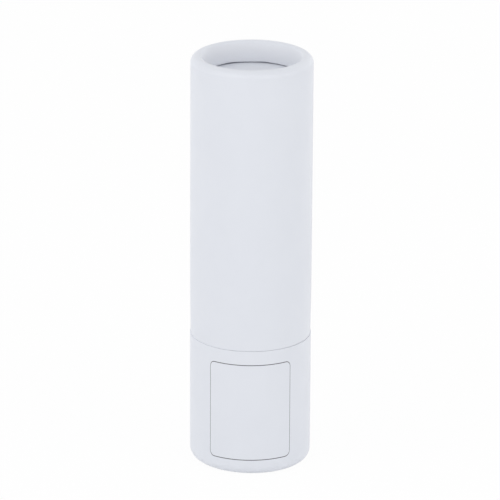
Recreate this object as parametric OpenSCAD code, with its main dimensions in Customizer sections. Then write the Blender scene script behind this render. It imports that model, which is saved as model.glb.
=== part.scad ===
// Twist-up lip balm stick in a white paper tube: a rolled-edge cap and base, and a
// cam-and-slot lift mechanism that raises the balm when the base is turned.
// Millimetres, +Z up, origin at the centre of the base on the surface it stands on.
// The blank label panel on the base faces -Y.

/* [Case] */
// Outside diameter of the base and the cap
case_d = 20.2; // [19.6:0.1:24]
// Height of the closed stick
total_h = 70; // [69.5:0.5:84]
// Height of the base, up to the seam
base_h = 22; // [20:0.1:24]
// Board thickness of the base tube and the cap tube
board_t = 1.1; // [0.9:0.05:1.2]
// Open seam between the base and the closed cap
seam_gap = 0.08; // [0.05:0.01:0.5]
// How far the cut end of the cap is drawn in, on the radius
mouth_draw = 0.1; // [0:0.02:0.16]
// Length over which the end of the cap is drawn in
mouth_draw_h = 8; // [4:0.5:12]

/* [Rolled edges] */
// Thickness across a rolled edge, wall and fold together
roll_t = 2.3; // [2.3:0.05:2.6]
// How far the fold runs back into the tube
roll_depth = 3.5; // [2.6:0.1:4]
// Width of the rounding on the outside of a rolled edge
roll_round_w = 1.4; // [0.9:0.05:1.4]
// Height of the outside rounding at the cap's rim
rim_round_h = 1.2; // [0.8:0.1:2]
// Height of the outside rounding at the foot
foot_round_h = 1.6; // [0.8:0.1:2]
// Width of the inside rounding at the cap's rim
rim_inner_w = 0.85; // [0.4:0.05:0.85]
// Height of the inside rounding at the cap's rim
rim_inner_h = 2.4; // [0.4:0.1:2.4]
// Radius of the inside rounding at the foot
foot_inner_r = 0.35; // [0.3:0.05:0.7]
// Thickness of the board discs that close the cap and the base
disc_t = 1; // [0.6:0.1:1.4]
// Open line between the cut edge of a fold and its disc
disc_gap = 0.15; // [0.1:0.05:0.4]

/* [Paper tubes inside] */
// Wall of the liner tubes in the cap and the base
liner_t = 0.5; // [0.4:0.05:0.7]
// How far a liner stops short of the open end of its tube
liner_set = 0.3; // [0:0.1:1]
// Wall of the neck tube
neck_t = 0.6; // [0.5:0.05:0.8]
// Height of the neck above the base
neck_rise = 18; // [15:0.1:18.5]

/* [Lift mechanism] */
// Wall of the cam sleeve
cam_t = 0.85; // [0.8:0.05:1]
// Depth of the helical grooves in the cam sleeve
groove_depth = 0.5; // [0.4:0.05:0.6]
// Turns from fully down to fully up
lift_turns = 2; // [1.5:0.25:2.5]
// Wall of the slotted tube
slotted_t = 0.55; // [0.45:0.05:0.65]
// Thickness of the collar at the top of the slotted tube
collar_t = 0.7; // [0.5:0.1:1]
// Diameter of the two lugs on the carrier cup
lug_d = 1.4; // [1.1:0.1:1.8]
// Height of the lugs above the underside of the cup
lug_up = 5; // [4:0.1:5.5]
// Height of the carrier cup
cup_h = 8; // [7:0.1:9]
// Wall of the carrier cup
cup_t = 0.6; // [0.5:0.05:0.8]
// Floor of the carrier cup
cup_floor_t = 1; // [0.8:0.1:1.4]
// Ribs inside the cup that grip the balm
cup_ribs = 4; // [3:1:6]
// Height of the plug that holds the mechanism in the base
plug_h = 4; // [3.4:0.1:4.4]
// Floor of the plug
plug_floor_t = 1.2; // [0.9:0.1:1.6]
// Wall of the plug
plug_wall = 0.7; // [0.6:0.05:0.8]
// Webs between the two walls of the plug
plug_webs = 8; // [4:1:12]
// Upright ribs round the plug that bite into the board
crush_ribs = 12; // [6:1:18]
// How far the crush ribs stand out of the plug
crush_rib_h = 0.2; // [0.1:0.05:0.3]
// How far the snap bead stands out of the foot of the slotted tube
bead_h = 0.1; // [0.06:0.01:0.1]
// Rounding and chamfers on the edges of the moulded pieces
edge_c = 0.2; // [0.1:0.05:0.3]
// Section diameter of the friction ring
ring_d = 0.5; // [0.4:0.05:0.5]

/* [Balm] */
// Distance of the top of the balm below the neck edge, fully down
balm_below = 0.8; // [0.4:0.1:2]
// Height of the domed top of the balm
dome_h = 2.4; // [1:0.1:4]

/* [Fits] */
// Radial clearance where tubes slide or turn on each other
run_gap = 0.1; // [0.08:0.01:0.14]
// Space left for glue between fixed pieces
glue_gap = 0.05; // [0.03:0.01:0.08]
// End play of the cam sleeve between the plug and the collar
end_play = 0.15; // [0.1:0.01:0.25]
// Clearance all round a lug in its slot and groove
lug_gap = 0.2; // [0.15:0.01:0.25]
// Radial clearance between the cap's liner and the neck that it grips
cap_fit = 0.05; // [0.03:0.01:0.08]

/* [Hidden] */
$fn = 96;

// Radii, from the outside in
case_r = case_d / 2;
tube_ir = case_r - board_t;
liner_or = tube_ir - glue_gap;
liner_ir = liner_or - liner_t;
neck_or = liner_ir - run_gap;
neck_ir = neck_or - neck_t;
cam_or = neck_ir - glue_gap;
cam_ir = cam_or - cam_t;
groove_r = cam_ir + groove_depth;
slotted_or = cam_ir - run_gap;
slotted_ir = slotted_or - slotted_t;
cup_or = slotted_ir - run_gap;
cup_ir = cup_or - cup_t;
balm_r = slotted_ir - run_gap - glue_gap;
foot_r = cup_ir - glue_gap;

// Heights in the base
base_disc_z = roll_depth + disc_gap;
plug_z = base_disc_z + disc_t + glue_gap;
plug_floor_z = plug_z + plug_floor_t;
plug_top = plug_z + plug_h;
base_liner_z = plug_top + glue_gap;

// Heights of the neck and its mechanism
neck_top = base_h + neck_rise;
ring_z = plug_top + glue_gap;
cam_z = ring_z + ring_d + end_play;
cam_top = neck_top - collar_t - end_play;
slotted_z = plug_floor_z + glue_gap;
collar_or = neck_ir - run_gap;

// Heights of the carrier when it is fully down
cup_z = plug_floor_z + lug_gap;
lug_z = cup_z + lug_up;
balm_top = neck_top - balm_below;
cup_stop = 0.9;  // rim of the cup below the neck edge, fully up
stroke = neck_top - cup_stop - cup_z - cup_h;
lead = stroke / lift_turns;

// Heights in the cap
cap_z = base_h + seam_gap;
cap_disc_z = total_h - roll_depth - disc_gap - disc_t;

// Lugs and the grooves and slots they run in
lug_reach = groove_r - run_gap;
lug_base_r = cup_ir + cup_t / 2;
slot_w = lug_d + 2 * lug_gap;
groove_rise = atan(lead / (2 * PI * groove_r));
groove_h = slot_w / cos(groove_rise);
groove_sweep = 360 * groove_h / lead;  // angle that a groove spans in a level section
core_step = 12;  // degrees between the points and between the slices of the twisted core
seat_r = slotted_or + glue_gap;
bead_rise = 1.1;
bead_z = slotted_z + bead_rise;
bead_half_h = 0.3;
rib_w = 0.8;
rib_in = 0.9;
rib_top_gap = 1.2;
cut = 1;  // how far a cutting shape runs past the face it cuts

paper = [0.89, 0.90, 0.93];
board = [0.86, 0.86, 0.87];
plastic = [0.95, 0.95, 0.94];
silicone = [0.30, 0.31, 0.33];
wax = [0.96, 0.92, 0.80];

// Points on an elliptical arc round a centre, from angle a to angle b
function arc(centre, rx, ry, a, b, steps = 10) =
    [for (i = [0:steps]) let (t = a + (b - a) * i / steps)
        centre + [rx * cos(t), ry * sin(t)]];

// Half section of a tube whose upper end is rolled in, with the height of its outside
// rounding and the width and height of its inside one. The lower end is drawn in by draw.
function rolled_outline(low, high, round_h, inner_w, inner_h, draw, draw_h) = concat(
    [[tube_ir - draw, low], [case_r - draw, low], [case_r, low + draw_h]],
    arc([case_r - roll_round_w, high - round_h], roll_round_w, round_h, 0, 90),
    arc([case_r - roll_t + inner_w, high - inner_h], inner_w, inner_h, 90, 180, 8),
    [[case_r - roll_t, high - roll_depth], [tube_ir, high - roll_depth],
     [tube_ir, low + draw_h]]
);

module tube(outer_r, inner_r, low, high) {
    translate([0, 0, low])
        difference() {
            cylinder(r = outer_r, h = high - low);
            translate([0, 0, -cut])
                cylinder(r = inner_r, h = high - low + 2 * cut);
        }
}

module disc(r, low, t) {
    translate([0, 0, low])
        cylinder(r = r, h = t);
}

// The base: outer tube rolled at the foot, bottom disc, liner and plug

module base_tube() {
    color(paper)
        mirror([0, 0, 1])
            rotate_extrude()
                polygon(rolled_outline(-base_h, 0, foot_round_h,
                                       foot_inner_r, foot_inner_r, 0, cut));
}

module base_disc() {
    color(board)
        disc(liner_or, base_disc_z, disc_t);
}

module base_liner() {
    color(board)
        tube(liner_or, liner_ir, base_liner_z, base_h - liner_set);
}

module plug_web(angle) {
    rotate([0, 0, angle])
        translate([seat_r + plug_wall / 2, -rib_w / 2, plug_z + plug_floor_t / 2])
            cube([liner_or - crush_rib_h - seat_r - plug_wall, rib_w,
                  plug_h - plug_floor_t]);
}

module crush_rib(angle) {
    rib_r = crush_rib_h * 1.5;
    rotate([0, 0, angle])
        translate([liner_or - rib_r, 0, plug_z + edge_c])
            cylinder(r = rib_r, h = plug_h - 2 * edge_c, $fn = 24);
}

// A dog that fills the open foot of a slot, and so turns the slotted tube with the base
module plug_dog(angle) {
    dog_w = slot_w - 2 * glue_gap;
    rotate([0, 0, angle])
        translate([slotted_ir, -dog_w / 2, plug_z + plug_floor_t / 2])
            cube([seat_r + plug_wall / 2 - slotted_ir, dog_w, plug_h - plug_floor_t]);
}

// The ring of the snap bead on a wall of radius r, or of the groove that it snaps into
module bead(r, h, half_h, z) {
    rotate_extrude()
        polygon([[r - h, z - half_h], [r, z - half_h], [r + h, z],
                 [r, z + half_h], [r - h, z + half_h]]);
}

module base_plug() {
    wall_or = liner_or - crush_rib_h;
    color(plastic)
        union() {
            disc(wall_or, plug_z, plug_floor_t);
            tube(wall_or, wall_or - plug_wall, plug_z + plug_floor_t / 2, plug_top);
            difference() {
                tube(seat_r + plug_wall, seat_r, plug_z + plug_floor_t / 2, plug_top);
                bead(seat_r, bead_h, bead_half_h + glue_gap, bead_z);
            }
            for (i = [0:plug_webs - 1])
                plug_web(i * 360 / plug_webs);
            for (i = [0:crush_ribs - 1])
                crush_rib(i * 360 / crush_ribs);
            for (angle = [0, 180])
                plug_dog(angle);
        }
}

// The slotted tube snaps into the plug and turns the carrier cup with the base. Its slots
// run out at the foot, where the lugs are fed in.

module lug_slot(angle) {
    rotate([0, 0, angle])
        translate([slotted_ir / 2, 0, lug_z + stroke]) {
            rotate([0, 90, 0])
                cylinder(d = slot_w, h = slotted_or, $fn = 32);
            translate([0, -slot_w / 2, slotted_z - cut - lug_z - stroke])
                cube([slotted_or, slot_w, lug_z + stroke - slotted_z + cut]);
        }
}

module slotted_tube() {
    color(plastic)
        difference() {
            union() {
                rotate_extrude()
                    polygon(concat(
                        [[slotted_ir, slotted_z], [slotted_or - edge_c, slotted_z],
                         [slotted_or, slotted_z + edge_c],
                         [slotted_or, neck_top - collar_t],
                         [collar_or, neck_top - collar_t]],
                        arc([collar_or - edge_c, neck_top - edge_c],
                            edge_c, edge_c, 0, 90, 6),
                        [[slotted_ir + edge_c, neck_top],
                         [slotted_ir, neck_top - edge_c]]
                    ));
                bead(slotted_or, bead_h, bead_half_h, bead_z);
            }
            for (angle = [0, 180])
                lug_slot(angle);
        }
}

module friction_ring() {
    color(silicone)
        translate([0, 0, ring_z + ring_d / 2])
            rotate_extrude()
                translate([slotted_or + glue_gap + ring_d / 2, 0])
                    circle(d = ring_d, $fn = 32);
}

// The neck turns on the slotted tube. Its cam sleeve holds the two helical grooves.

// Its pressed upper edge leads it into the cap.
module neck_tube() {
    color(paper)
        rotate_extrude()
            polygon([[neck_ir, cam_z], [neck_or, cam_z], [neck_or, neck_top - edge_c],
                     [neck_or - edge_c, neck_top], [neck_ir, neck_top]]);
}

// Level section of the bore with its two grooves. Its radii are raised so that the
// flats between points and slices stay outside the true bore.
module core_section() {
    raised = 1 / pow(cos(core_step / 2), 2);
    half = groove_sweep / 2;
    polygon([
        for (start = [0, 180]) each concat(
            arc([0, 0], groove_r * raised, groove_r * raised,
                start - half, start + half, ceil(groove_sweep / core_step)),
            arc([0, 0], cam_ir * raised, cam_ir * raised,
                start + half, start + 180 - half, ceil((180 - groove_sweep) / core_step))
        )
    ]);
}

// The grooves run out at both ends, so that the lugs can be fed in. They climb
// counterclockwise and pass the lugs' height at 0 and 180 degrees.
module cam_sleeve() {
    core_z = cam_z - cut;
    core_h = cam_top + cut - core_z;
    color(plastic)
        difference() {
            disc(cam_or, cam_z, cam_top - cam_z);
            translate([0, 0, core_z])
                rotate([0, 0, -360 * (lug_z - core_z) / lead])
                    linear_extrude(height = core_h, twist = -360 * core_h / lead,
                                   slices = ceil(360 * core_h / lead / core_step),
                                   $fn = 360 / core_step)
                        core_section();
        }
}

// The carrier: a cup with two lugs that reach through the slots into the grooves

module cup_rib(angle, w, low, high) {
    rotate([0, 0, angle])
        translate([cup_ir - rib_in, -w / 2, low])
            cube([rib_in + cup_t / 2, w, high - low]);
}

// A lug with a chamfered tip, pointing along +X from the wall of the cup
module cup_lug() {
    tip = edge_c;
    translate([lug_base_r, 0, lug_z])
        rotate([0, 90, 0]) {
            cylinder(d = lug_d, h = lug_reach - tip - lug_base_r, $fn = 32);
            translate([0, 0, lug_reach - tip - lug_base_r])
                cylinder(d1 = lug_d, d2 = lug_d - 2 * tip, h = tip, $fn = 32);
        }
}

module carrier_cup() {
    rim_z = cup_z + cup_h;
    color(plastic)
        union() {
            rotate_extrude()
                polygon([
                    [0, cup_z], [cup_or - edge_c, cup_z], [cup_or, cup_z + edge_c],
                    [cup_or, rim_z], [cup_ir + edge_c, rim_z],
                    [cup_ir, rim_z - 2 * edge_c], [cup_ir, cup_z + cup_floor_t],
                    [0, cup_z + cup_floor_t]
                ]);
            for (i = [0:cup_ribs - 1])
                cup_rib(45 + i * 360 / cup_ribs, rib_w,
                        cup_z + cup_floor_t / 2, rim_z - rib_top_gap);
            for (angle = [0, 180])
                rotate([0, 0, angle])
                    cup_lug();
        }
}

module balm() {
    foot_z = cup_z + cup_floor_t + glue_gap;
    shoulder_z = cup_z + cup_h + glue_gap;
    color(wax)
        difference() {
            rotate_extrude()
                polygon(concat(
                    [[0, foot_z], [foot_r, foot_z], [foot_r, shoulder_z],
                     [balm_r, shoulder_z]],
                    arc([0, balm_top - dome_h], balm_r, dome_h, 0, 90, 14)
                ));
            for (i = [0:cup_ribs - 1])
                cup_rib(45 + i * 360 / cup_ribs, rib_w + 2 * glue_gap,
                        foot_z - cut, cup_z + cup_h - rib_top_gap + glue_gap);
        }
}

// The cap: outer tube rolled at the top, recessed disc and liner

module cap_tube() {
    color(paper)
        rotate_extrude()
            polygon(rolled_outline(cap_z, total_h, rim_round_h,
                                   rim_inner_w, rim_inner_h, mouth_draw, mouth_draw_h));
}

module cap_disc() {
    color(board)
        disc(liner_or, cap_disc_z, disc_t);
}

module cap_liner() {
    color(board)
        tube(liner_or - mouth_draw, neck_or + cap_fit,
             cap_z + liner_set, cap_disc_z - glue_gap);
}

base_tube();
base_disc();
base_liner();
base_plug();
slotted_tube();
friction_ring();
neck_tube();
cam_sleeve();
carrier_cup();
balm();
cap_tube();
cap_disc();
cap_liner();
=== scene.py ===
"""Twist-up lip balm stick in a white paper tube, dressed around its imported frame.

Metres, +Z up. The blank label panel on the base faces -Y, and the lap of the paper wrap
is at the back, towards +Y. Every height and radius is read from the frame, and the few
sizes that the frame's boxes don't tell are named below.
"""
import math

import bpy
from mathutils import Matrix, Vector


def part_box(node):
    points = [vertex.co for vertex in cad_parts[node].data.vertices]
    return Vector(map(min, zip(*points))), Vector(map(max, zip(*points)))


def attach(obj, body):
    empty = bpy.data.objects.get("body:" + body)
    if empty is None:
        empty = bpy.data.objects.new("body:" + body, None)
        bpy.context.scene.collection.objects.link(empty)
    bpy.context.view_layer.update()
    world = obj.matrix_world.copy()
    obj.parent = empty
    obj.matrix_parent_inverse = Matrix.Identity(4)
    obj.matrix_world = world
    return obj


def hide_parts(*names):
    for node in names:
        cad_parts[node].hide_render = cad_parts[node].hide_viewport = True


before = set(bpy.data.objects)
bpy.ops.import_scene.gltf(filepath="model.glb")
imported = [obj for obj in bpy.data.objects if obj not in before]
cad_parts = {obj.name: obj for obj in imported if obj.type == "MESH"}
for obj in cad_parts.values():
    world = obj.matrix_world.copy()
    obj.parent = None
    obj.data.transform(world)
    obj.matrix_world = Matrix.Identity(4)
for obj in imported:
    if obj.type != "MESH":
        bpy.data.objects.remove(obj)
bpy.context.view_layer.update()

MM = 0.001

# Where the pieces are, read from the frame
case_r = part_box("base_tube")[1].x
seam_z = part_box("base_tube")[1].z
mouth_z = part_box("cap_tube")[0].z
top_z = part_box("cap_tube")[1].z
liner_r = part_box("cap_disc")[1].x
cap_disc_low, cap_disc_high = (corner.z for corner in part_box("cap_disc"))
base_disc_low, base_disc_high = (corner.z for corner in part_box("base_disc"))
neck_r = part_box("neck_tube")[1].x
neck_low, neck_high = (corner.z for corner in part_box("neck_tube"))

# Sizes of the board tubes and their rolled edges. The cap's cut end is drawn in, and
# halfway up that length draw_halfway is the share of the draw that is left.
board_t = 1.1 * MM
mouth_draw = 0.1 * MM
mouth_draw_h = 8 * MM
draw_halfway = 0.45
roll_t = 2.3 * MM
roll_depth = 3.5 * MM
roll_round_w = 1.4 * MM
rim_round_h, rim_inner = 1.2 * MM, (0.85 * MM, 2.4 * MM)
foot_round_h, foot_inner = 1.6 * MM, (0.35 * MM, 0.35 * MM)
edge_r = 0.03 * MM
tube_r = case_r - board_t

# The neck tube's wall, and the rounding of its upper edge
neck_t, neck_round_r = 0.6 * MM, 0.2 * MM

# How finely the pieces of revolution are made: sides, steps of each kind of round, and the
# rings on the straight inside of a fold and on a disc, as shares of its depth and radius
SIDES = 192
ROUND_STEPS, FOLD_STEPS, NECK_STEPS, EDGE_STEPS = 18, 14, 6, 3
FOLD_RING = 0.7
DISC_RINGS = (0.6, 0.2)
SMOOTH_ANGLE = math.radians(35)
MERGE_GAP = 1e-7

# The seam: how far each cut edge swells towards the other and how its corners round, how
# much the cap's edge is squashed and out of true, and the small dent in the base's edge
seam_swell = 0.038 * MM
seam_edge_r = 0.015 * MM
seam_edge_h = 2 * seam_edge_r
mouth_squash = 0.5
mouth_tilt = 0.0019
nick_w, nick_depth = 0.8 * MM, 0.04 * MM
nick_turn = math.radians(-15.5)

# How far the foot's rolled edge is out of true
foot_tilt = 0.0085

# The cut edge of a fold: how far it wanders and over what length, and where it stands off
# its disc, as turn from the back, half width (both in degrees) and share of the stand-off
fold_wave, fold_wave_l = 0.05 * MM, 1.2 * MM
fold_end_h = 3 * edge_r
stand_off = 0.11 * MM
STAND_OFFS = ((-30, 16, 1.0), (16, 8, 0.9), (64, 18, 0.6), (118, 25, 0.8), (-105, 20, 0.7),
              (175, 22, 0.9))

# The printed wrap: one turn of paper whose ends lap at the back
wrap_t = 0.025 * MM
wrap_edge_w = 0.13 * MM
lap_w = 3.2 * MM
lap_step_w = 0.04 * MM
lap_ramp_w = 0.5 * MM
lap_reach = 2 * MM

# The blank label panel, as a hairline on the base
panel_low, panel_high = 2.82 * MM, 19.61 * MM
panel_half_angle = math.radians(40.8)
panel_corner_r = 0.9 * MM
level_line_w, upright_line_w = 0.105 * MM, 0.06 * MM

# Floor: its size in metres, its white, and the share of its look that is plain white to the
# camera, while the rest shows the shadow
FLOOR_SIZE = 6
FLOOR_WHITE = (0.94, 0.94, 0.94, 1)
FLOOR_SEEN = 0.95

# Light: the tent's brightness, and square panels of one size at one distance, in metres,
# each with its turn and rise in degrees from the front and its brightness
TENT = 0.64
PANEL_SIZE, PANEL_DISTANCE = 0.5, 0.6
PANELS = (
    ("front_left_panel", -50, 33, 1.0),
    ("left_panel", -75, 20, 0.4),
    ("front_right_panel", 50, 35, 0.62),
    ("front_right_low_panel", 50, 8, 0.74),
    ("back_left_panel", -140, 20, 0.44),
    ("back_right_panel", 140, 20, 0.69),
)

# Linear colours
PAPER = (0.750, 0.773, 0.829, 1)
PAPER_DARK = (0.742, 0.765, 0.822, 1)
# Painted shade: the paper's colour on the inside of the rolled fold, a little darker and
# warmer, for the shade in the recess
PAPER_SHADE_IN_FOLD = (0.754, 0.769, 0.810, 1)
BOARD_CORE = (0.60, 0.60, 0.62, 1)
BOARD_GLUE = (0.45, 0.45, 0.46, 1)
INK = (0.03, 0.03, 0.035, 1)
PLASTIC = (0.80, 0.80, 0.78, 1)
PLASTIC_DARK = (0.785, 0.785, 0.765, 1)
SILICONE = (0.07, 0.075, 0.08, 1)
SILICONE_LIGHT = (0.09, 0.095, 0.10, 1)
WAX = (0.86, 0.77, 0.57, 1)
WAX_DARK = (0.84, 0.744, 0.535, 1)

# How many noise waves a metre holds, and between which noise values an effect fades in
SINK_SCALE, WAX_CLOUD_SCALE, PIT_SCALE = 260.0, 420.0, 2600.0
CLOUD_SPAN, SINK_SPAN, PIT_SPAN = (0.3, 0.7), (0.35, 0.65), (0.28, 0.36)

# The second material of a shell or the neck, on its cut edges, and how level a face of the
# cut edge lies, as the upright part of its normal
CUT_EDGE = 1
SHELL_EDGE_LEVEL, NECK_EDGE_LEVEL = 0.7, 0.95


# Modelling

def edit(piece):
    """Opens one piece alone in edit mode, with nothing in it selected."""
    bpy.ops.object.select_all(action="DESELECT")
    piece.select_set(True)
    bpy.context.view_layer.objects.active = piece
    bpy.ops.object.mode_set(mode="EDIT")
    bpy.ops.mesh.select_all(action="DESELECT")


def pick_points(piece, wanted):
    """Selects the points whose place makes wanted true."""
    bpy.ops.mesh.select_mode(type="VERT")
    bpy.ops.mesh.select_all(action="DESELECT")
    bpy.ops.object.mode_set(mode="OBJECT")
    for point in piece.data.vertices:
        point.select = wanted(point.co)
    bpy.ops.object.mode_set(mode="EDIT")


def pick_faces(piece, wanted):
    """Selects the faces whose centre makes wanted true."""
    bpy.ops.mesh.select_mode(type="FACE")
    bpy.ops.mesh.select_all(action="DESELECT")
    bpy.ops.object.mode_set(mode="OBJECT")
    for face in piece.data.polygons:
        face.select = wanted(face.center)
    bpy.ops.object.mode_set(mode="EDIT")


def arc(centre, rx, ry, start, end, steps):
    """Points (radius, height) on an elliptical arc, in degrees."""
    angles = [math.radians(start + (end - start) * i / steps) for i in range(steps + 1)]
    return [(centre[0] + rx * math.cos(a), centre[1] + ry * math.sin(a)) for a in angles]


def turned(name, outline, closed=True):
    """A piece of revolution: one ring is extruded and resized from point to point of its
    outline. A closed outline comes back to its first point; an open one is capped."""
    bpy.ops.object.select_all(action="DESELECT")
    radius, height = outline[0]
    bpy.ops.mesh.primitive_circle_add(
        vertices=SIDES, radius=radius, location=(0, 0, height),
        fill_type="NOTHING" if closed else "TRIFAN")
    piece = bpy.context.object
    piece.name = name
    bpy.ops.object.transform_apply(location=True, rotation=True, scale=True)
    edit(piece)
    pick_points(piece, lambda co: math.hypot(co.x, co.y) > radius / 2)
    bpy.ops.mesh.select_mode(type="EDGE")
    if not closed:
        pick_rim(piece, radius)
    ring = outline[1:] + outline[:1] if closed else outline[1:]
    for next_radius, next_height in ring:
        bpy.ops.mesh.extrude_edges_move(
            TRANSFORM_OT_translate={"value": (0, 0, next_height - height)})
        size = next_radius / radius
        bpy.ops.transform.resize(value=(size, size, 1), center_override=(0, 0, 0))
        radius, height = next_radius, next_height
    if not closed:
        bpy.ops.mesh.edge_face_add()
        bpy.ops.mesh.poke()
    finish_mesh(piece)
    return piece


def pick_rim(piece, radius):
    """Selects the outer ring of edges of a filled circle."""
    bpy.ops.mesh.select_all(action="DESELECT")
    bpy.ops.object.mode_set(mode="OBJECT")
    points = piece.data.vertices
    for line in piece.data.edges:
        line.select = all(math.hypot(*points[i].co.xy) > radius / 2 for i in line.vertices)
    bpy.ops.object.mode_set(mode="EDIT")
    bpy.ops.mesh.select_mode(type="EDGE")


def finish_mesh(piece):
    """Merges what meets, turns the faces outwards and smooths all but sharp edges."""
    bpy.ops.mesh.select_mode(type="VERT")
    bpy.ops.mesh.select_all(action="SELECT")
    bpy.ops.mesh.remove_doubles(threshold=MERGE_GAP)
    bpy.ops.mesh.normals_make_consistent(inside=False)
    bpy.ops.object.mode_set(mode="OBJECT")
    bpy.ops.object.shade_smooth_by_angle(angle=SMOOTH_ANGLE)


def rolled_outline(low, high, round_h, inner, draw, draw_h):
    """Half section of a board tube rolled in at its upper end, drawn in at its cut end."""
    skin_r = case_r - wrap_t
    inner_w, inner_h = inner
    return [
        (tube_r - draw + seam_edge_r, low), (skin_r - draw - wrap_edge_w, low),
        (skin_r - draw - seam_edge_r, low),
        (skin_r - draw, low + seam_edge_r), (skin_r - draw * draw_halfway, low + draw_h / 2),
        (skin_r, low + draw_h),
        *arc((case_r - roll_round_w, high - round_h),
             roll_round_w - wrap_t, round_h, 0, 90, ROUND_STEPS),
        *arc((case_r - roll_t + inner_w, high - inner_h),
             inner_w, inner_h, 90, 180, FOLD_STEPS),
        (case_r - roll_t, high - roll_depth * FOLD_RING),
        *arc((case_r - roll_t + edge_r, high - roll_depth + edge_r),
             edge_r, edge_r, 180, 270, EDGE_STEPS),
        (tube_r, high - roll_depth), (tube_r, low + draw_h), (tube_r - draw, low + seam_edge_r),
    ]


def wave_fold(piece, end_z, away):
    """Makes the cut edge of the fold wander, and stand off its disc here and there, as a
    rolled edge leaves it. Away is 1 or -1, for the way along Z that leads off the disc."""
    fine_grip = piece.vertex_groups.new(name="fold_end")
    off_grip = piece.vertex_groups.new(name="fold_off")
    for point in piece.data.vertices:
        x, y, z = point.co
        if abs(z - end_z) > fold_end_h or math.hypot(x, y) > tube_r - edge_r:
            continue
        turn = math.degrees(math.atan2(x, y))
        share = sum(size * math.exp(-((turn - middle + 180) % 360 - 180) ** 2 / width ** 2)
                    for middle, width, size in STAND_OFFS)
        fine_grip.add([point.index], 1.0, "REPLACE")
        off_grip.add([point.index], min(share, 1.0), "REPLACE")
    unevenness = bpy.data.textures.new("fold_unevenness", "CLOUDS")
    unevenness.noise_scale = fold_wave_l
    for grip, strength, texture in ((fine_grip, fold_wave, unevenness),
                                    (off_grip, away * stand_off, None)):
        wave = piece.modifiers.new(grip.name, "DISPLACE")
        wave.texture = texture
        wave.texture_coords = "LOCAL"
        wave.direction = "Z"
        wave.mid_level = 0.5 if texture else 0.0
        wave.strength = strength
        wave.vertex_group = grip.name
        bpy.ops.object.select_all(action="DESELECT")
        piece.select_set(True)
        bpy.context.view_layer.objects.active = piece
        bpy.ops.object.modifier_apply(modifier=wave.name)


def raise_lap(piece):
    """Raises the strip at the back where the wrap's two ends lie over each other."""
    outer_r = case_r - roll_round_w

    def on_skin(co, low_x, high_x):
        return co.y > 0 and low_x <= co.x <= high_x and math.hypot(co.x, co.y) > outer_r

    edit(piece)
    for x in (0, lap_step_w, lap_w, lap_w + lap_ramp_w):
        pick_faces(piece, lambda co: on_skin(co, -lap_reach, lap_w + lap_reach))
        bpy.ops.mesh.bisect(plane_co=(x, 0, 0), plane_no=(1, 0, 0))
    margin = lap_step_w / 2
    pick_points(piece, lambda co: on_skin(co, lap_step_w - margin, lap_w + margin))
    size = case_r / (case_r - wrap_t)
    bpy.ops.transform.resize(value=(size, size, 1), center_override=(0, 0, 0))
    bpy.ops.object.mode_set(mode="OBJECT")
    bpy.ops.object.shade_smooth_by_angle(angle=SMOOTH_ANGLE)


def stand(piece, node, body, slot_name, *finishes):
    """Lets a piece stand for a CAD node, ride with its body and wear its finishes."""
    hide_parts(node)
    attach(piece, body)
    piece.data.materials.clear()
    for finish in finishes:
        piece.data.materials.append(finish)


# Node groups and materials

def add(tree, kind, **settings):
    """Adds a node with its settings."""
    node = tree.nodes.new(kind)
    for key, value in settings.items():
        setattr(node, key, value)
    return node


def put(tree, socket, value):
    """Sets an input socket to a number or colour, or links another socket to it."""
    if isinstance(value, bpy.types.NodeSocket):
        tree.links.new(value, socket)
    else:
        socket.default_value = value


def calc(tree, operation, first, second=0.0):
    """One step of arithmetic on numbers or sockets."""
    node = add(tree, "ShaderNodeMath", operation=operation)
    put(tree, node.inputs[0], first)
    put(tree, node.inputs[1], second)
    return node.outputs[0]


def fade(tree, value, low, high, from_value=0.0, to_value=1.0):
    """Smooth step: from_value at low, to_value at high."""
    node = add(tree, "ShaderNodeMapRange", interpolation_type="SMOOTHSTEP")
    for name, part in (("Value", value), ("From Min", low), ("From Max", high),
                       ("To Min", from_value), ("To Max", to_value)):
        put(tree, node.inputs[name], part)
    return node.outputs["Result"]


def mix_colour(tree, share, first, second):
    """Lays a share of the second colour over the first. A Mix node has sockets of every type
    under the same names, so the colour ones are found by their type."""
    node = add(tree, "ShaderNodeMix", data_type="RGBA")
    put(tree, node.inputs["Factor"], share)
    first_socket, second_socket = (s for s in node.inputs if s.type == "RGBA")
    put(tree, first_socket, first)
    put(tree, second_socket, second)
    return next(s for s in node.outputs if s.type == "RGBA")


def noise(tree, where, scale, detail, rough):
    node = add(tree, "ShaderNodeTexNoise")
    put(tree, node.inputs["Vector"], where)
    put(tree, node.inputs["Scale"], scale)
    put(tree, node.inputs["Detail"], detail)
    put(tree, node.inputs["Roughness"], rough)
    return node.outputs["Fac"]


def stretched(tree, where, scale):
    """The place, stretched along each axis."""
    node = add(tree, "ShaderNodeMapping")
    put(tree, node.inputs["Vector"], where)
    put(tree, node.inputs["Scale"], scale)
    return node.outputs["Vector"]


def object_place(tree):
    return add(tree, "ShaderNodeTexCoord").outputs["Object"]


def split(tree, where):
    """The x, y and z of a place."""
    node = add(tree, "ShaderNodeSeparateXYZ")
    put(tree, node.inputs["Vector"], where)
    return node.outputs


def from_axis(tree):
    """Distance from the stick's axis."""
    x, y, _ = split(tree, object_place(tree))
    return calc(tree, "SQRT", calc(tree, "ADD", calc(tree, "MULTIPLY", x, x),
                                   calc(tree, "MULTIPLY", y, y)))


def new_group(name, inputs, outputs):
    """A node group with number sockets: inputs as names with start values, and outputs."""
    tree = bpy.data.node_groups.new(name, "ShaderNodeTree")
    for label, start in inputs.items():
        socket = tree.interface.new_socket(label, in_out="INPUT", socket_type="NodeSocketFloat")
        socket.default_value = start
    for label in outputs:
        tree.interface.new_socket(label, in_out="OUTPUT", socket_type="NodeSocketFloat")
    return tree, add(tree, "NodeGroupInput"), add(tree, "NodeGroupOutput")


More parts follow.
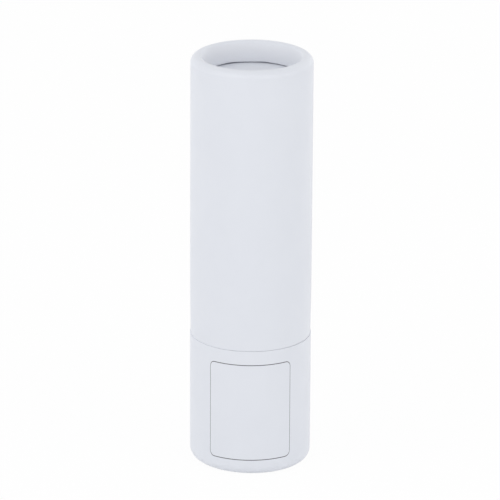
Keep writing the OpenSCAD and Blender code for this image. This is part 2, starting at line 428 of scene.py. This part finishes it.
def place_group(tree, group, **values):
    """Places a group in a material with values of the material's own."""
    node = add(tree, "ShaderNodeGroup", node_tree=group)
    for label, value in values.items():
        put(tree, node.inputs[label.replace("_", " ")], value)
    return node.outputs


def paper_grain_group():
    """Matted fibres of a coated paper: a fine height, and a faint cloud in the tone."""
    tree, given, result = new_group(
        "paper_grain", {"Fibre Size": 0.0002, "Cloud Size": 0.006}, ("Height", "Tone"))
    where = object_place(tree)
    fibre_scale = calc(tree, "DIVIDE", 1.0, given.outputs["Fibre Size"])
    cloud_scale = calc(tree, "DIVIDE", 1.0, given.outputs["Cloud Size"])
    upright_fibre, level_fibre = (1, 1, 0.25), (0.35, 0.35, 1.3)
    upright, level = (
        noise(tree, stretched(tree, where, fibre), fibre_scale, detail=3, rough=0.6)
        for fibre in (upright_fibre, level_fibre))
    matted = calc(tree, "MULTIPLY", calc(tree, "ADD", upright, level), 0.5)
    cloud = noise(tree, where, cloud_scale, detail=3, rough=0.55)
    put(tree, result.inputs["Height"], matted)
    put(tree, result.inputs["Tone"], fade(tree, cloud, *CLOUD_SPAN))
    return tree


def moulded_skin_group():
    """Fine sparked surface of a moulding, with the slow waviness that shrinkage leaves."""
    tree, given, result = new_group("moulded_skin", {"Spark Size": 0.00012}, ("Height", "Tone"))
    where = object_place(tree)
    spark_scale = calc(tree, "DIVIDE", 1.0, given.outputs["Spark Size"])
    spark = noise(tree, where, spark_scale, detail=2, rough=0.6)
    sink = noise(tree, where, SINK_SCALE, detail=2, rough=0.5)
    spark_share, sink_share = 0.4, 0.6
    put(tree, result.inputs["Height"], calc(
        tree, "ADD", calc(tree, "MULTIPLY", spark, spark_share),
        calc(tree, "MULTIPLY", sink, sink_share)))
    put(tree, result.inputs["Tone"], fade(tree, sink, *SINK_SPAN))
    return tree


def panel_outline_group():
    """Mask of a hairline round a rounded rectangle, wrapped on a cylinder and facing -Y."""
    tree, given, result = new_group(
        "panel_outline",
        {"Radius": 0.01, "Middle": 0.011, "Half Width": 0.007, "Half Height": 0.008,
         "Corner": 0.001, "Level Line": 0.0001, "Upright Line": 0.0001},
        ("Line",))
    x, y, z = split(tree, object_place(tree))
    angle = calc(tree, "ARCTAN2", x, calc(tree, "MULTIPLY", y, -1.0))
    across = calc(tree, "ABSOLUTE", calc(tree, "MULTIPLY", angle, given.outputs["Radius"]))
    along = calc(tree, "ABSOLUTE", calc(tree, "SUBTRACT", z, given.outputs["Middle"]))
    corner = given.outputs["Corner"]
    dx, dz = (
        calc(tree, "SUBTRACT", measure, calc(tree, "SUBTRACT", given.outputs[half], corner))
        for measure, half in ((across, "Half Width"), (along, "Half Height")))
    out_x, out_z = (calc(tree, "MAXIMUM", d, 0.0) for d in (dx, dz))
    outside = calc(tree, "SQRT", calc(tree, "ADD", calc(tree, "MULTIPLY", out_x, out_x),
                                      calc(tree, "MULTIPLY", out_z, out_z)))
    inside = calc(tree, "MINIMUM", calc(tree, "MAXIMUM", dx, dz), 0.0)
    distance = calc(tree, "ABSOLUTE", calc(
        tree, "SUBTRACT", calc(tree, "ADD", outside, inside), corner))
    line_w = fade(tree, calc(tree, "SUBTRACT", dx, dz), calc(tree, "MULTIPLY", corner, -1.0),
                  corner, given.outputs["Level Line"], given.outputs["Upright Line"])
    ink_share, feather_share = 0.5, 0.7
    ink_end = calc(tree, "MULTIPLY", line_w, ink_share)
    feather_end = calc(tree, "MULTIPLY", line_w, feather_share)
    put(tree, result.inputs["Line"], fade(tree, distance, ink_end, feather_end, 1.0, 0.0))
    return tree


def new_material(name, roughness_range, bump_depth, **constants):
    """A material with its Principled shader, and a bump that its finish will feed."""
    material = bpy.data.materials.new(name)
    material.use_nodes = True
    tree = material.node_tree
    shader = tree.nodes["Principled BSDF"]
    for label, value in constants.items():
        shader.inputs[label.replace("_", " ")].default_value = value
    bump = add(tree, "ShaderNodeBump")
    bump.inputs["Strength"].default_value = 1.0
    bump.inputs["Distance"].default_value = bump_depth
    tree.links.new(bump.outputs["Normal"], shader.inputs["Normal"])
    return material, tree, shader, bump, roughness_range


def dress(made, colour, height, tone):
    """Feeds colour, roughness and bump of a new material."""
    material, tree, shader, bump, (smooth, rough) = made
    put(tree, shader.inputs["Base Color"], colour)
    put(tree, bump.inputs["Height"], height)
    put(tree, shader.inputs["Roughness"], fade(tree, tone, 0.0, 1.0, smooth, rough))
    return material


def white_paper(name, line=None):
    """Smooth satin white paper, with painted shade on the inside of the fold: the recess's wall
    gets a slightly darker, warmer colour for the shade that falls there. line is a function
    that returns a mask of printed ink."""
    made = new_material(name, roughness_range=(0.50, 0.58), bump_depth=0.0015 * MM,
                        Coat_Weight=0.2, Coat_Roughness=0.3)
    tree = made[1]
    grain = place_group(tree, paper_grain)
    colour = mix_colour(tree, grain["Tone"], PAPER, PAPER_DARK)
    fold_r = case_r - roll_t
    # Painted shade: the inside wall of the fold, in the recess, fades to a slightly darker,
    # warmer colour
    fold_shade_mask = fade(tree, from_axis(tree), fold_r + edge_r, fold_r + rim_inner[0], 1.0, 0.0)
    colour = mix_colour(tree, fold_shade_mask, colour, PAPER_SHADE_IN_FOLD)
    if line:
        colour = mix_colour(tree, line(tree), colour, INK)
    return dress(made, colour, grain["Height"], grain["Tone"])


def label_line(tree):
    """Mask of the blank panel's outline on the base."""
    return place_group(
        tree, panel_outline, Radius=case_r, Middle=(panel_low + panel_high) / 2,
        Half_Width=case_r * panel_half_angle, Half_Height=(panel_high - panel_low) / 2,
        Corner=panel_corner_r, Level_Line=level_line_w, Upright_Line=upright_line_w)["Line"]


def cut_board():
    """The cut edge of a wound board tube: thin plies that show as rings."""
    ply_t, glue_share, glue_left = 0.28 * MM, 0.25, 0.7
    made = new_material("cut_board", roughness_range=(0.75, 0.9), bump_depth=0.02 * MM)
    tree = made[1]
    grain = place_group(tree, paper_grain, Fibre_Size=0.0003)
    ply = calc(tree, "FRACT", calc(tree, "MULTIPLY", from_axis(tree), 1 / ply_t))
    core = fade(tree, ply, 0.0, glue_share, glue_left, 1.0)
    colour = mix_colour(tree, core, BOARD_GLUE, BOARD_CORE)
    return dress(made, colour, grain["Height"], grain["Tone"])


def plain_board():
    """Uncoated white board: a coarser fibre than the wrap's, and no sheen."""
    made = new_material("plain_board", roughness_range=(0.68, 0.80), bump_depth=0.010 * MM)
    tree = made[1]
    grain = place_group(tree, paper_grain, Fibre_Size=0.0003, Cloud_Size=0.004)
    colour = mix_colour(tree, grain["Tone"], PAPER, PAPER_DARK)
    return dress(made, colour, grain["Height"], grain["Tone"])


def wound_tube():
    """A spirally wound inner tube: where the strip's edges meet runs a fine helix."""
    strip_pitch, butt_start, butt_end = 22 * MM, 0.004, 0.010
    butt_shade, grain_share = 0.25, 0.3
    made = new_material("wound_tube", roughness_range=(0.55, 0.68), bump_depth=0.02 * MM)
    tree = made[1]
    grain = place_group(tree, paper_grain, Fibre_Size=0.00025)
    x, y, z = split(tree, object_place(tree))
    turn = calc(tree, "MULTIPLY", calc(tree, "ARCTAN2", y, x), 1 / (2 * math.pi))
    climb = calc(tree, "MULTIPLY", z, 1 / strip_pitch)
    strip = calc(tree, "FRACT", calc(tree, "SUBTRACT", climb, turn))
    butt = fade(tree, strip, butt_start, butt_end, 1.0, 0.0)
    colour = mix_colour(tree, grain["Tone"], PAPER, PAPER_DARK)
    colour = mix_colour(tree, calc(tree, "MULTIPLY", butt, butt_shade), colour, BOARD_CORE)
    height = calc(tree, "SUBTRACT", calc(tree, "MULTIPLY", grain["Height"], grain_share), butt)
    return dress(made, colour, height, grain["Tone"])


def moulded(name, first, second, roughness_range, bump_depth):
    """A moulded finish whose tone wanders between two colours."""
    made = new_material(name, roughness_range, bump_depth)
    tree = made[1]
    skin = place_group(tree, moulded_skin)
    colour = mix_colour(tree, skin["Tone"], first, second)
    return dress(made, colour, skin["Height"], skin["Tone"])


def balm_wax():
    """Soft wax: cloudy, faintly translucent, with the fine pits of a cooled pour."""
    made = new_material("balm_wax", roughness_range=(0.38, 0.52), bump_depth=0.03 * MM,
                        Subsurface_Weight=0.35, Subsurface_Scale=1.5 * MM,
                        Coat_Weight=0.08, Coat_Roughness=0.3)
    tree = made[1]
    where = object_place(tree)
    cloud = fade(tree, noise(tree, where, WAX_CLOUD_SCALE, detail=4, rough=0.6), *CLOUD_SPAN)
    pits = fade(tree, noise(tree, where, PIT_SCALE, detail=1, rough=0.5), *PIT_SPAN)
    colour = mix_colour(tree, cloud, WAX, WAX_DARK)
    height = calc(tree, "ADD", calc(tree, "MULTIPLY", pits, 0.5),
                  calc(tree, "MULTIPLY", cloud, 0.5))
    return dress(made, colour, height, cloud)


paper_grain = paper_grain_group()
moulded_skin = moulded_skin_group()
panel_outline = panel_outline_group()
cap_paper = white_paper("cap_paper")
base_paper = white_paper("base_paper", label_line)
board_edge = cut_board()
disc_board = plain_board()
neck_paper = wound_tube()
wax = balm_wax()
white_plastic = moulded("white_plastic", PLASTIC, PLASTIC_DARK,
                        roughness_range=(0.36, 0.46), bump_depth=0.006 * MM)
grey_silicone = moulded("grey_silicone", SILICONE, SILICONE_LIGHT,
                        roughness_range=(0.45, 0.6), bump_depth=0.004 * MM)


# The pieces

def face_edges(piece, wanted):
    """Gives the faces that make wanted true the material of the cut edges."""
    for face in piece.data.polygons:
        if wanted(face):
            face.material_index = CUT_EDGE


def make_cap_shell():
    low = mouth_z - seam_swell
    piece = turned("cap_shell", rolled_outline(
        low, top_z, rim_round_h, rim_inner, mouth_draw, mouth_draw_h))
    edit(piece)
    pick_points(piece, lambda co: co.z < low + seam_edge_h)
    bpy.ops.transform.resize(value=(1, 1, mouth_squash), center_override=(0, 0, low))
    bpy.ops.transform.rotate(value=mouth_tilt, orient_axis="Y",
                             center_override=(-case_r, 0, low))
    bpy.ops.object.mode_set(mode="OBJECT")
    raise_lap(piece)
    wave_fold(piece, top_z - roll_depth, 1)
    stand(piece, "cap_tube", "cap", "white_paper", cap_paper, board_edge)
    core_r = case_r - mouth_draw - wrap_edge_w
    face_edges(piece, lambda face: face.normal.z < -SHELL_EDGE_LEVEL
               and face.center.z < mouth_z + edge_r and math.hypot(*face.center.xy) < core_r)


def make_base_shell():
    high = seam_z + seam_swell
    outline = [(r, high - z) for r, z in rolled_outline(
        0, high, foot_round_h, foot_inner, 0, board_t)]
    piece = turned("base_shell", outline)
    raise_lap(piece)
    wave_fold(piece, roll_depth, -1)
    edit(piece)
    pick_points(piece, lambda co: co.z < foot_round_h + edge_r)
    bpy.ops.transform.rotate(value=-foot_tilt, orient_axis="Y", center_override=(case_r, 0, 0))
    bpy.ops.object.mode_set(mode="OBJECT")
    nick_x, nick_y = case_r * math.sin(nick_turn), -case_r * math.cos(nick_turn)
    edit(piece)
    pick_points(piece, lambda co: co.z > high - seam_edge_h and math.hypot(
        co.x - nick_x, co.y - nick_y) < nick_w / 2)
    bpy.ops.transform.translate(value=(0, 0, -nick_depth))
    bpy.ops.object.mode_set(mode="OBJECT")
    stand(piece, "base_tube", "base", "white_paper", base_paper, board_edge)
    core_r = case_r - wrap_edge_w
    face_edges(piece, lambda face: face.normal.z > SHELL_EDGE_LEVEL
               and face.center.z > seam_z - edge_r and math.hypot(*face.center.xy) < core_r)


def disc_outline(low, high):
    """Half section of a board disc, up one side and in towards the middle of its top."""
    return [
        *arc((liner_r - edge_r, low + edge_r), edge_r, edge_r, -90, 0, EDGE_STEPS),
        *arc((liner_r - edge_r, high - edge_r), edge_r, edge_r, 0, 90, EDGE_STEPS),
        *((liner_r * share, high) for share in DISC_RINGS),
    ]


def make_discs():
    for name, node, body, low, high in (
            ("cap_lid", "cap_disc", "cap", cap_disc_low, cap_disc_high),
            ("foot_lid", "base_disc", "base", base_disc_low, base_disc_high)):
        piece = turned(name, disc_outline(low, high), closed=False)
        stand(piece, node, body, "white_board", disc_board)


def make_neck():
    piece = turned("neck_sleeve", [
        (neck_r - neck_t, neck_low), (neck_r, neck_low),
        *arc((neck_r - neck_round_r, neck_high - neck_round_r),
             neck_round_r, neck_round_r, 0, 90, NECK_STEPS),
        (neck_r - neck_t, neck_high),
    ])
    stand(piece, "neck_tube", "neck", "white_paper", neck_paper, board_edge)
    face_edges(piece, lambda face: abs(face.normal.z) > NECK_EDGE_LEVEL)


make_cap_shell()
make_base_shell()
make_discs()
make_neck()

# The pieces inside keep their CAD shapes and get their finishes
FINISH_OF_NODE = {
    "base_liner": neck_paper, "cap_liner": neck_paper,
    "base_plug": white_plastic, "slotted_tube": white_plastic,
    "cam_sleeve": white_plastic, "carrier_cup": white_plastic,
    "friction_ring": grey_silicone, "balm": wax,
}
for node_name, finish in FINISH_OF_NODE.items():
    node_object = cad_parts[node_name]
    node_object.data.materials.clear()
    node_object.data.materials.append(finish)


# Floor, light and camera

def seen_share(tree):
    """1 for rays that show a surface to the camera, also by reflection or through glass."""
    path = add(tree, "ShaderNodeLightPath")
    mirrored = calc(tree, "MAXIMUM", path.outputs["Is Glossy Ray"],
                    path.outputs["Is Transmission Ray"])
    return calc(tree, "MAXIMUM", path.outputs["Is Camera Ray"], mirrored)


def make_floor():
    """A plain white floor. The camera sees it near white, with the stick's soft shadow."""
    bpy.ops.object.select_all(action="DESELECT")
    bpy.ops.mesh.primitive_plane_add(size=FLOOR_SIZE, location=(0, 0, 0))
    floor = bpy.context.object
    floor.name = "floor"
    material = bpy.data.materials.new("floor_white")
    material.use_nodes = True
    tree = material.node_tree
    tree.nodes.clear()
    shade = add(tree, "ShaderNodeBsdfDiffuse")
    shade.inputs["Color"].default_value = FLOOR_WHITE
    glow = add(tree, "ShaderNodeEmission")
    glow.inputs["Strength"].default_value = 1.0
    mix = add(tree, "ShaderNodeMixShader")
    put(tree, mix.inputs["Fac"], calc(tree, "MULTIPLY", seen_share(tree), FLOOR_SEEN))
    tree.links.new(shade.outputs[0], mix.inputs[1])
    tree.links.new(glow.outputs[0], mix.inputs[2])
    tree.links.new(mix.outputs[0], add(tree, "ShaderNodeOutputMaterial").inputs["Surface"])
    floor.data.materials.append(material)


def make_light():
    """An even white tent, and softboxes given as panels whose brightness of 1 is that of a
    white surface in full light."""
    world = bpy.data.worlds.new("white_tent")
    bpy.context.scene.world = world
    world.use_nodes = True
    tree = world.node_tree
    background = tree.nodes["Background"]
    background.inputs["Color"].default_value = (1, 1, 1, 1)
    put(tree, background.inputs["Strength"],
        fade(tree, seen_share(tree), 0.0, 1.0, TENT, 1.0))
    middle = Vector((0, 0, top_z / 2))
    for name, turn, rise, brightness in PANELS:
        turn, rise = math.radians(turn), math.radians(rise)
        place = Vector((math.sin(turn) * math.cos(rise), -math.cos(turn) * math.cos(rise),
                        math.sin(rise))) * PANEL_DISTANCE
        lamp = bpy.data.lights.new(name, "AREA")
        lamp.shape = "SQUARE"
        lamp.size = PANEL_SIZE
        lamp.energy = brightness * math.pi * PANEL_SIZE * PANEL_SIZE
        panel = bpy.data.objects.new(name, lamp)
        facing = place.to_track_quat("Z", "Y").to_matrix().to_4x4()
        panel.matrix_world = Matrix.Translation(place + middle) @ facing
        panel.visible_camera = False
        bpy.context.scene.collection.objects.link(panel)


def make_camera():
    """A long lens at the photograph's angle, fitted to the outline of the stick."""
    distance = 0.72163
    rise = math.radians(19.327)
    pitch = math.radians(19.230)
    yaw = math.radians(-0.0136)
    roll = math.radians(0.33)
    focal_px, frame_px = 4351.8, 500.0
    place = Vector((0, -distance * math.cos(rise),
                    top_z / 2 + distance * math.sin(rise)))
    forward = Vector((math.sin(yaw) * math.cos(pitch), math.cos(yaw) * math.cos(pitch),
                      -math.sin(pitch)))
    right = forward.cross(Vector((0, 0, 1))).normalized()
    up = right.cross(forward)
    right_rolled = math.cos(roll) * right + math.sin(roll) * up
    up_rolled = math.cos(roll) * up - math.sin(roll) * right
    data = bpy.data.cameras.new("camera")
    data.sensor_width = 36.0
    data.lens = focal_px / frame_px * data.sensor_width
    camera = bpy.data.objects.new("camera", data)
    camera.matrix_world = Matrix.Translation(place) @ Matrix(
        (right_rolled, up_rolled, -forward)).transposed().to_4x4()
    bpy.context.scene.collection.objects.link(camera)
    bpy.context.scene.camera = camera


make_floor()
make_light()
make_camera()
bpy.context.scene.view_settings.view_transform = "Standard"
